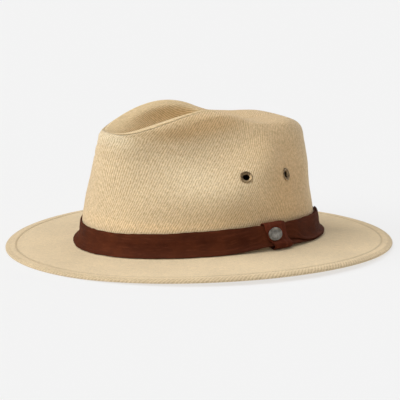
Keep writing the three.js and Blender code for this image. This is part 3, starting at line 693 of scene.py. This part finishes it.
def build_crown_tip():
    first = seam_ring(u_all) + 0.006
    s_rows = np.concatenate([np.linspace(12, 15, 44, endpoint=False), np.linspace(15, TOP - 0.03, 16)])
    S = np.concatenate([first + np.linspace(0, 1, 14, endpoint=False)[:, None] * (12 - first),
                        np.repeat(s_rows[:, None], N, 1)])
    U = np.broadcast_to(u_all, S.shape)
    p = crown_outer(S, U)
    from_seam = arc(p)
    n = grid_normals(p)
    push = 0.25 * waves(p, 30, 9) * smooth(from_seam / 8)
    push += groove(U) * np.exp(-(from_seam / 0.8) ** 2) - 0.15 * np.exp(-((from_seam - 2.2) / 1.3) ** 2)
    p = p - n * push[..., None]
    n = grid_normals(p)
    q = p - n * CROWN_CLOTH * np.clip(0.55 + from_seam / 8, 0.55, 1)[..., None]
    # the two sides meet along the valley
    m = len(S)
    low, low_in = p[-1].copy(), q[-1].copy()
    low[:, 0], low_in[:, 0] = 0, 0
    mirror = (-np.arange(N)) % N
    low = 0.5 * (low + low[mirror])
    low_in = 0.5 * (low_in + low_in[mirror])
    b = Builder()
    outer = table(b.add(p), m, N)
    inner = table(b.add(q), m, N)
    last = table(b.add(low), 1, N)
    last_in = table(b.add(low_in), 1, N)
    # painted highlight: a pale strip along the rolled lip beside the seam, with painted shade right at the seam
    b.tone = np.ones((b.count, 3))
    b.tone[:m * N] += (np.exp(-((from_seam - 1.7) / 1.3) ** 2) - 1.6 * np.exp(-(from_seam / 0.5) ** 2)).reshape(-1, 1) * [0.15, 0.20, 0.27]
    fold = np.minimum(np.arange(N), mirror)
    outer = closed(np.concatenate([outer, last[:, fold]]))
    inner = closed(np.concatenate([inner, last_in[:, fold]]))
    # along the dent, and across the dent up its walls from the valley
    both = np.concatenate([p, low[None]])
    climb = np.linalg.norm(np.diff(both[..., [0, 2]], axis=0), axis=-1)
    climb = np.concatenate([np.cumsum(climb[::-1], 0)[::-1], np.zeros((1, N))], 0)
    flat = np.stack([both[..., 1], -climb * np.clip(both[..., 0] / 9, -1, 1)], -1)
    uv = np.concatenate([flat, flat[:, :1]], 1)
    b.grid(outer, uv)
    b.grid(inner, uv, flip=True)
    b.grid(np.stack([outer[0], inner[0]]), np.stack([uv[0], uv[0] + [0, 2]]), flip=True)
    return b.piece("crown_tip_cloth", tip_twill, ["crown_tip"])


crown_tip_cloth = build_crown_tip()


# ---------------------------------------------------------------- brim
HEM = 9.5  # the hem's stitch line, in mm from the edge
# painted light and shade on the brim, among them a painted shadow of the crown at the back: x, y of the middle,
# radius, lighter or darker
BRIM_PAINTED_LIGHT = [(120, 110, 28, 0.15), (33, 121, 26, -0.11), (-104, -93, 34, -0.09)]


def build_brim():
    n = 360
    u = np.linspace(0, 2 * np.pi, n, endpoint=False)
    s_rows = np.concatenate([np.linspace(0, 1.0, 16, endpoint=False), np.linspace(1.0, 4, 26, endpoint=False),
                             np.linspace(4, 9, 26)])
    S, U = np.meshgrid(s_rows, u, indexing="ij")
    top = brim_top(S, U)
    thick = rows(BRIM, S)[..., 4]
    nn = grid_normals(top)
    nn = np.where(nn[..., 2:] < 0, -nn, nn)
    steep = smooth((S - 5) / 2)
    into = unit(nn * steep[..., None] + np.array([0, 0, 1.0]) * (1 - steep[..., None]))
    under = top - into * thick[..., None]
    # the hem: a shallow groove where it is stitched, and a slightly fuller edge
    d = arc(top)
    calm = smooth(d / 3) * (1 - smooth((S - 4.2) / 1.2))
    lift = 0.22 * waves(top, 60, 21) * calm
    groove = -0.50 * np.exp(-((d - HEM) / 0.65) ** 2) + 0.16 * np.exp(-((d - HEM + 3.2) / 2.6) ** 2)
    top = top.copy()
    top[..., 2] += lift + groove - 0.7 * np.clip(1 - d / 5.0, 0, 1) ** 1.6
    under[..., 2] += np.maximum(lift, 0) * 0.5 + 0.30 * np.exp(-((d - HEM) / 0.75) ** 2)
    under[..., 2] = np.maximum(under[..., 2], 0.0)
    # rounded edge
    half = (top[0] - under[0]) / 2
    mid = (top[0] + under[0]) / 2
    radius = half[..., 2]
    inwards = np.stack([-np.sin(u), np.cos(u), 0 * u], -1)
    edge = []
    for a in np.linspace(-80, 80, 9) * DEG:
        edge.append(mid + inwards * (radius * (1 - math.cos(a)))[:, None] * 1.0 + np.array([0, 0, 1.0]) * (radius * math.sin(a))[:, None])
    edge = np.array(edge)
    pull = inwards * radius[:, None]
    fade = np.clip(1 - d / 3.5, 0, 1)[..., None]
    top = top + pull[None] * fade
    under = under + pull[None] * fade
    loop = np.concatenate([under[::-1], edge, top])
    m = len(loop)
    b = Builder()
    idx = table(b.add(loop), m, n)
    idx = closed(idx)
    length = arc(loop)
    k0 = len(under)
    flat = loop[..., :2]
    uv = np.concatenate([flat, flat[:, :1]], 1)
    # the hem's own cloth runs round the edge; the rest lies straight across the brim
    in_hem = int((d.mean(1) < HEM).sum())
    first, last = k0 - in_hem, k0 + len(edge) + in_hem
    rim = np.concatenate([edge[4], edge[4][:1]])
    round_ = np.concatenate([[0], np.cumsum(np.linalg.norm(np.diff(rim, axis=0), axis=1))])
    turned = 0.72 * np.stack([np.broadcast_to(round_, (m, n + 1)), np.concatenate([length, length[:, :1]], 1)], -1)
    b.grid(idx[:first + 1], uv[:first + 1])
    b.grid(idx[first:last + 1], turned[first:last + 1])
    b.grid(idx[last:], uv[last:])
    far_in = np.concatenate([d[::-1], np.zeros((len(edge), n)), d])
    near_edge = 1 - smooth((far_in - 3.2) / 1.6)
    b.hem = np.clip(1 - 0.70 * smooth((far_in - 3.2) / 1.6), 0, 1) * (far_in < HEM)
    line = np.exp(-((far_in - HEM) / 0.8) ** 2)
    brim_painted_light = sum(a * np.exp(-((loop[..., 0] - x) ** 2 + (loop[..., 1] - y) ** 2) / r ** 2) for x, y, r, a in BRIM_PAINTED_LIGHT)
    # the brim's colour factor is painted shade and light: a little darker along the outer edge, much darker in the
    # hem's stitch line, and the patches above
    b.tone = (((1 - 0.05 * near_edge - 0.24 * line) * np.exp(brim_painted_light))[..., None] * np.ones(3)).reshape(-1, 3)
    # the cut edges at the joint
    b.grid(np.stack([idx[-1], idx[0]]), np.stack([uv[-1], uv[-1] + [0, 2]]))
    o = b.piece("brim_cloth", brim_twill, ["brim"])
    return o, top, under, d, u


brim_cloth, brim_upper, brim_lower, brim_from_edge, brim_u = build_brim()


# ---------------------------------------------------------------- strap
def ring_of(front, back, rim_top, rim_low):
    """Closed outline across a strap: back face, lower edge, front face, upper edge."""
    return np.concatenate([back, rim_low, front[::-1], rim_top], 0)


def band_q(run, q):
    lap = run / DEG - 360
    low = 1 - TAIL_PINCH * smooth((lap - 99) / 8) * (1 - smooth((lap - 112) / 11))
    return np.where(q > 0.52, 0.52 + (low - 0.52) * (q - 0.52) / 0.48, q)


def build_band():
    steps = 520
    start = BAND_START * DEG
    end = start + 2 * math.pi + BAND_LAP * DEG
    run = np.linspace(start, end, steps)
    q = np.linspace(0, 1, 27)
    R, Q = np.meshgrid(run, q, indexing="ij")
    qq = band_q(R, Q)
    lap = R / DEG - 360
    base = band_skin(qq, R % (2 * math.pi))
    n = band_normal(qq, R % (2 * math.pi))
    # uneven edges, and a soft crease half way up
    wave = waves(base, 36, 31)
    off = band_standoff(R) + 0.12 + 0.10 * (1 + wave)
    edge_wear = 0.5 * waves(base, 9, 32) + 0.5 * waves(base, 23, 33)
    down = unit(band_skin(np.minimum(1, qq + 0.04), R % (2 * math.pi)) - band_skin(np.maximum(0, qq - 0.04), R % (2 * math.pi)))
    nudge = 0.45 * edge_wear * (np.abs(Q - 0.5) * 2) ** 6
    base = base + down * nudge[..., None]
    crease = -0.16 * np.exp(-((Q - 0.47) / 0.07) ** 2) + 0.12 * np.exp(-((Q - 0.34) / 0.10) ** 2) + 0.14 * np.exp(-((Q - 0.62) / 0.11) ** 2)
    rough = 0.10 * waves(base, 11, 34)
    thick = BAND_LEATHER * (1 - 0.25 * smooth((np.abs(Q - 0.5) * 2 - 0.86) / 0.14))
    back = base + n * off[..., None]
    front = base + n * (off + thick + crease + rough)[..., None]
    # rounded edges
    rims = []
    for side in (0, -1):
        a, c = back[:, side], front[:, side]
        way = down[:, side] * (-1 if side == 0 else 1)
        mid, r = (a + c) / 2, np.linalg.norm(c - a, axis=-1) / 2
        nn = unit(c - a)
        arcs = [mid + way * (r * math.cos(t))[:, None] * 0.8 + nn * (r * math.sin(t))[:, None] for t in np.linspace(-60, 60, 5) * DEG]
        rims.append(np.array(arcs))
    up_rim, low_rim = rims
    loop = np.concatenate([back.transpose(1, 0, 2), low_rim, front.transpose(1, 0, 2)[::-1], up_rim[::-1]], 0)
    m = len(loop)
    b = Builder()
    idx = table(b.add(loop), m, steps)
    idx = np.concatenate([idx, idx[:1]], 0)
    girth = np.concatenate([arc(loop), arc(np.concatenate([loop, loop[:1]]))[-1:]], 0)
    uv = np.stack([np.broadcast_to(run * 97, (m + 1, steps)), girth], -1)
    b.grid(idx, uv)
    for col, flip in ((0, False), (steps - 1, True)):
        # the cut ends, closed with a fan of quads between the two faces
        k = len(q)
        for i in range(k - 1):
            a0, a1 = idx[i, col], idx[i + 1, col]
            c0, c1 = idx[k + 5 + (k - 1 - i), col], idx[k + 5 + (k - 1 - i - 1), col]
            f = np.array([[a0, a1, c1, c0]])
            b.faces.append(f[:, ::-1] if flip else f)
            b.uvs.append(np.zeros((1, 4, 2)) + uv[i, col])
        for first in (k, k + 5 + k):
            ring = [idx[first - 1, col]] + [idx[first + t, col] for t in range(5)] + [idx[(first + 5) % m, col]]
            for t in range(1, len(ring) - 1):
                f = np.array([[ring[0], ring[t], ring[t + 1], ring[t + 1]]])
                b.faces.append(f[:, ::-1] if flip else f)
                b.uvs.append(np.zeros((1, 4, 2)) + uv[0, col])
    return b.piece("strap", band_leather, ["hat_band"])


strap = build_band()


# ---------------------------------------------------------------- keeper
def build_keeper():
    back_off = BAND_STANDOFF + KEEPER_ROOM - GAP - KEEPER_LEATHER + 0.05
    face_off = BAND_STANDOFF + KEEPER_ROOM + 2 * BAND_LEATHER + 0.35 + GAP + 0.15
    across = np.linspace(0, 1, 17)
    qs = np.linspace(0, 1, 22)
    t = KEEPER_LEATHER
    loops_in, loops_out = [], []
    for k in across:
        def at(q, off):
            q = np.asarray(q, float)
            u0 = KEEPER["topFrom"] + (KEEPER["lowFrom"] - KEEPER["topFrom"]) * q
            u1 = KEEPER["topTo"] + (KEEPER["lowTo"] - KEEPER["topTo"]) * q
            u = (u0 + (u1 - u0) * k) * DEG
            return band_skin(q, u) + band_normal(q, u) * np.asarray(off)[..., None], band_normal(q, u)
        wobble = 0.16 * np.sin(k * 9 + 1.0)
        bulge = 0.35 * math.sin(math.pi * k)
        back, nb = at(qs, np.full(len(qs), back_off + t / 2))
        face, nf = at(qs, np.full(len(qs), face_off + t / 2) + bulge + 0.2 * np.sin(qs * 7 + 2))
        paths = []
        up = unit(at(0.0, 1.0)[0] - at(0.06, 1.0)[0])
        low = unit(at(1.0, 1.0)[0] - at(0.94, 1.0)[0])
        def turn(a, c, way):
            mid, r = (a + c) / 2, np.linalg.norm(c - a) / 2
            nn = unit(c - a)
            return [mid + way * math.cos(x) * (0.55 * r + 0.5 + wobble * 0.5) + nn * math.sin(x) * r for x in np.linspace(-70, 70, 7) * DEG]
        path = list(back[::-1]) + turn(back[0], face[0], up) + list(face) + turn(face[-1], back[-1], low)
        path = np.array(path)
        nxt, prv = np.roll(path, -1, 0), np.roll(path, 1, 0)
        tangent = unit(nxt - prv)
        side, _ = at(0.5, 1.0)
        k2 = min(1.0, k + 0.1)
        # width direction: round the crown
        uw = (KEEPER_MIDDLE) * DEG
        width = unit(band_skin(np.array(0.5), np.array(uw + 0.02)) - band_skin(np.array(0.5), np.array(uw - 0.02)))
        outn = unit(np.cross(width, tangent))
        mid = path.mean(0)
        if np.sum((path - mid) * outn) < 0:
            outn = -outn
        edge = smooth(min(k, 1 - k) / 0.10)
        loops_in.append(path - outn * t / 2 * (0.55 + 0.45 * edge))
        loops_out.append(path + outn * t / 2 * (0.55 + 0.45 * edge))
    loops_in, loops_out = np.array(loops_in), np.array(loops_out)
    m, n = loops_in.shape[:2]
    # ragged cut edges
    width = unit(loops_out[-1] - loops_out[0])
    for loops in (loops_in, loops_out):
        rag = 0.30 * waves(loops[0], 6, 51) + 0.2 * waves(loops[0], 15, 52)
        loops[0] += width * rag[:, None]
        rag = 0.35 * waves(loops[-1], 5, 53) + 0.2 * waves(loops[-1], 13, 54)
        loops[-1] += width * rag[:, None]
    b = Builder()
    io = table(b.add(loops_out), m, n)
    ii = table(b.add(loops_in), m, n)
    io, ii = np.concatenate([io, io[:, :1]], 1), np.concatenate([ii, ii[:, :1]], 1)
    l = np.concatenate([arc(loops_out.transpose(1, 0, 2)).T, np.zeros((m, 1))], 1)
    l[:, -1] = l[:, -2] + 0.6
    wv = np.broadcast_to((across * 17)[:, None], l.shape)
    uv = np.stack([l, wv], -1)
    b.grid(io, uv)
    b.grid(ii, uv, flip=True)
    b.grid(np.stack([ii[0], io[0]]), np.stack([uv[0], uv[0] + [0, 1]]))
    b.grid(np.stack([io[-1], ii[-1]]), np.stack([uv[-1], uv[-1] + [0, 1]]))
    return b.piece("keeper", keeper_leather, ["keeper_loop"])


keeper = build_keeper()


# ---------------------------------------------------------------- turned pieces
def basis(at, normal):
    z = unit(np.asarray(normal))
    x = unit(np.cross(np.array([0, 0, 1.0]), z))
    return at, x, np.cross(z, x), z


def lathe(b, profile, frame_, segments, closed_profile=True, sx=1.0, sy=1.0):
    at, x, y, z = frame_
    a = np.linspace(0, 2 * np.pi, segments, endpoint=False)
    P = np.array([[at + x * r * sx * math.cos(t) + y * r * sy * math.sin(t) + z * h for t in a] for r, h in profile])
    idx = closed(table(b.add(P), len(profile), segments))
    if closed_profile:
        idx = np.concatenate([idx, idx[:1]], 0)
    uv = np.stack(np.meshgrid(np.arange(segments + 1) * 1.0, np.arange(len(idx)) * 1.0), -1)
    b.grid(idx, uv)


def build_eyelet(name, at, normal):
    b = Builder()
    top, inside = -0.15, -(CROWN_CLOTH + 0.35)
    ring = []
    # outer flange: a rolled rim, then down into the barrel
    for t in np.linspace(-90, 180, 15):
        ring.append((4.55 + 0.85 * math.cos(t * DEG), top + 0.35 + 0.62 * math.sin(t * DEG)))
    ring += [(3.35, top + 0.50), (3.0, top + 0.22), (2.72, top - 0.25), (2.62, top - 0.9), (2.6, inside + 0.2)]
    # inner flange
    for t in np.linspace(180, 360, 9):
        ring.append((3.7 + 1.0 * math.cos(t * DEG), inside - 0.35 + 0.40 * math.sin(t * DEG)))
    ring += [(4.4, inside + 0.02), (3.05, inside + 0.05), (3.0, top - 0.15)]
    lathe(b, ring[::-1], basis(at, normal), 56)
    return b.piece(name + "_metal", brass, [name])


for name, at, normal in seats:
    build_eyelet(name, at - 0.35 * normal, normal)


def build_plate():
    q, deg = PLATE_AT
    u = np.array(deg * DEG)
    n = band_normal(np.array(q), u)
    off = BAND_STANDOFF + KEEPER_ROOM + 2 * BAND_LEATHER + 0.35 + GAP + KEEPER_LEATHER + GAP + 0.15
    at = band_skin(np.array(q), u) + n * (off + 0.1)
    b = Builder()
    # radius as a share of the outline, height: flat back, raised rim, sunk field with a low dome
    prof = [(0.02, 0.0), (0.90, 0.0), (0.98, 0.12), (1.0, 0.42), (0.985, 0.86), (0.94, 1.12), (0.87, 1.16), (0.81, 1.02), (0.78, 0.80),
            (0.74, 0.74), (0.55, 0.86), (0.35, 0.95), (0.18, 1.0), (0.02, 1.02)]
    lathe(b, prof, basis(at, n), 72, sx=PLATE_HALF_LONG, sy=PLATE_HALF_TALL)
    return b.piece("keeper_plate_metal", nickel, ["keeper_plate"])


build_plate()


# ---------------------------------------------------------------- stitches
def stitch_row(name, path, normals, pitch, length, radius, sink=0.12, slant=0.0, material=None):
    """A row of single stitches along a closed line, each a short arched thread."""
    nxt = np.roll(path, -1, 0)
    seg = np.linalg.norm(nxt - path, axis=1)
    cum = np.concatenate([[0], np.cumsum(seg)])
    total = cum[-1]
    count = int(total / pitch)
    P, Nn = np.vstack([path, path[:1]]), np.vstack([normals, normals[:1]])
    at = lambda d: np.array([np.interp(d % total, cum, P[:, k]) for k in range(3)]).T
    nat = lambda d: unit(np.array([np.interp(d % total, cum, Nn[:, k]) for k in range(3)]).T)
    b = Builder()
    r = np.random.default_rng(len(name))
    rings, sides = 6, 6
    for i in range(count):
        d0 = (i + 0.5 * (1 - length / pitch)) * total / count + r.uniform(-0.05, 0.05)
        L = length * r.uniform(0.93, 1.05)
        ts = np.linspace(0, 1, rings)
        c = at(d0 + ts * L)
        n = nat(d0 + ts * L)
        c = c + n * (-sink + (radius + sink) * np.sin(np.pi * ts) ** 0.6)[:, None]
        tan = unit(np.gradient(c, axis=0))
        side = unit(np.cross(tan, n))
        c = c + side * ((ts - 0.5) * slant)[:, None]
        up = np.cross(side, tan)
        rr = radius * np.sin(np.pi * (0.12 + 0.76 * ts)) ** 0.5
        a = np.linspace(0, 2 * np.pi, sides, endpoint=False)
        tube = c[:, None] + (side[:, None] * np.cos(a)[None, :, None] + up[:, None] * np.sin(a)[None, :, None]) * rr[:, None, None]
        idx = closed(table(b.add(tube), rings, sides))
        uv = np.zeros((rings, sides + 1, 2))
        b.grid(idx, uv, flip=True)
        for row, flip in ((0, False), (rings - 1, True)):
            ring = idx[row, :-1]
            for t in (0, 2):
                f = np.array([[ring[0], ring[t + 1], ring[t + 2], ring[(t + 3) % sides]]])
                b.faces.append(f[:, ::-1] if flip else f)
                b.uvs.append(np.zeros((1, 4, 2)))
    return b.piece(name, material or cotton_thread)


def line_at(grid, dist, normals, want):
    """The closed line at a given distance from an edge, on a table of points."""
    pts, nrm = [], []
    for j in range(grid.shape[1]):
        d = dist[:, j]
        order = np.argsort(d)
        pts.append([np.interp(want, d[order], grid[order, j, k]) for k in range(3)])
        nrm.append([np.interp(want, d[order], normals[order, j, k]) for k in range(3)])
    return np.array(pts), unit(np.array(nrm))


line, nrm = line_at(side_grid, side_from_seam, side_normals, 0.10)
stitch_row("crown_seam_stitches", line, nrm, 2.6, 1.2, 0.18, sink=-0.12)
upper_n = grid_normals(brim_upper)
upper_n = np.where(upper_n[..., 2:] < 0, -upper_n, upper_n)
line, nrm = line_at(brim_upper, brim_from_edge, upper_n, HEM)
stitch_row("brim_hem_stitches", line, nrm, 2.9, 2.1, 0.20)
line, nrm = line_at(brim_lower, brim_from_edge, -upper_n, HEM)
stitch_row("brim_hem_stitches_under", line, nrm, 2.9, 2.25, 0.22, sink=0.18)

# ---------------------------------------------------------------- floor and light
floor_mat = Nodes("floor")
fs = floor_mat.new("ShaderNodeBsdfPrincipled", Roughness=0.9)
# a table lit partly from below, so that the shadow under the brim stays faint
fs.inputs["Base Color"].default_value = (0.275, 0.275, 0.275, 1)
fs.inputs["Emission Color"].default_value = (1.0, 1.0, 1.0, 1)
spot = floor_mat.tree.nodes.new("ShaderNodeTexCoord").outputs["Object"]
away = floor_mat.new("ShaderNodeVectorMath", _operation="LENGTH")
floor_mat.link(spot, away.inputs[0])
floor_mat.link(floor_mat.spread(away.outputs["Value"], 0.115, 0.150, 0.0, 0.622), fs.inputs["Emission Strength"])
fs.inputs["Specular IOR Level"].default_value = 0.0
floor_mat = floor_mat.done(fs)
me = bpy.data.meshes.new("floor")
me.from_pydata([(-40, -40, 0), (40, -40, 0), (40, 40, 0), (-40, 40, 0)], [], [(0, 1, 2, 3)])
floor = bpy.data.objects.new("floor", me)
bpy.context.scene.collection.objects.link(floor)
floor.data.materials.append(floor_mat)

world = bpy.data.worlds.new("studio")
bpy.context.scene.world = world
world.use_nodes = True
WORLD = 0.27
world.node_tree.nodes["Background"].inputs[0].default_value = (1.0, 1.0, 1.0, 1)
world.node_tree.nodes["Background"].inputs[1].default_value = WORLD

# name, degrees round from the camera towards image right, height, width of the source, strength
LIGHTS = [("key", -67, 49, 75, 2.08), ("low side", -78, 15, 50, 0.50), ("top", 0, 90, 60, 0.31),
          ("right", 95, 45, 60, 0.25), ("back", 145, 24, 60, 0.32)]
for name, round_, lift, wide, strength in LIGHTS:
    data = bpy.data.lights.new(name, "SUN")
    data.angle = wide * DEG
    data.energy = strength
    o = bpy.data.objects.new(name, data)
    ahead = unit(np.array([BACK[0], BACK[1], 0.0]))
    way = ahead * math.cos(round_ * DEG) + RIGHT * math.sin(round_ * DEG)
    way = way * math.cos(lift * DEG) + np.array([0, 0, 1.0]) * math.sin(lift * DEG)
    o.location = Vector(way * 2.0)
    o.rotation_euler = Vector(-way).to_track_quat("-Z", "Y").to_euler()
    bpy.context.scene.collection.objects.link(o)

bpy.context.scene.view_settings.view_transform = "Standard"
bpy.context.scene.view_settings.look = "None"
bpy.context.scene.view_settings.exposure = 0.0
bpy.context.scene.view_settings.gamma = 1.0
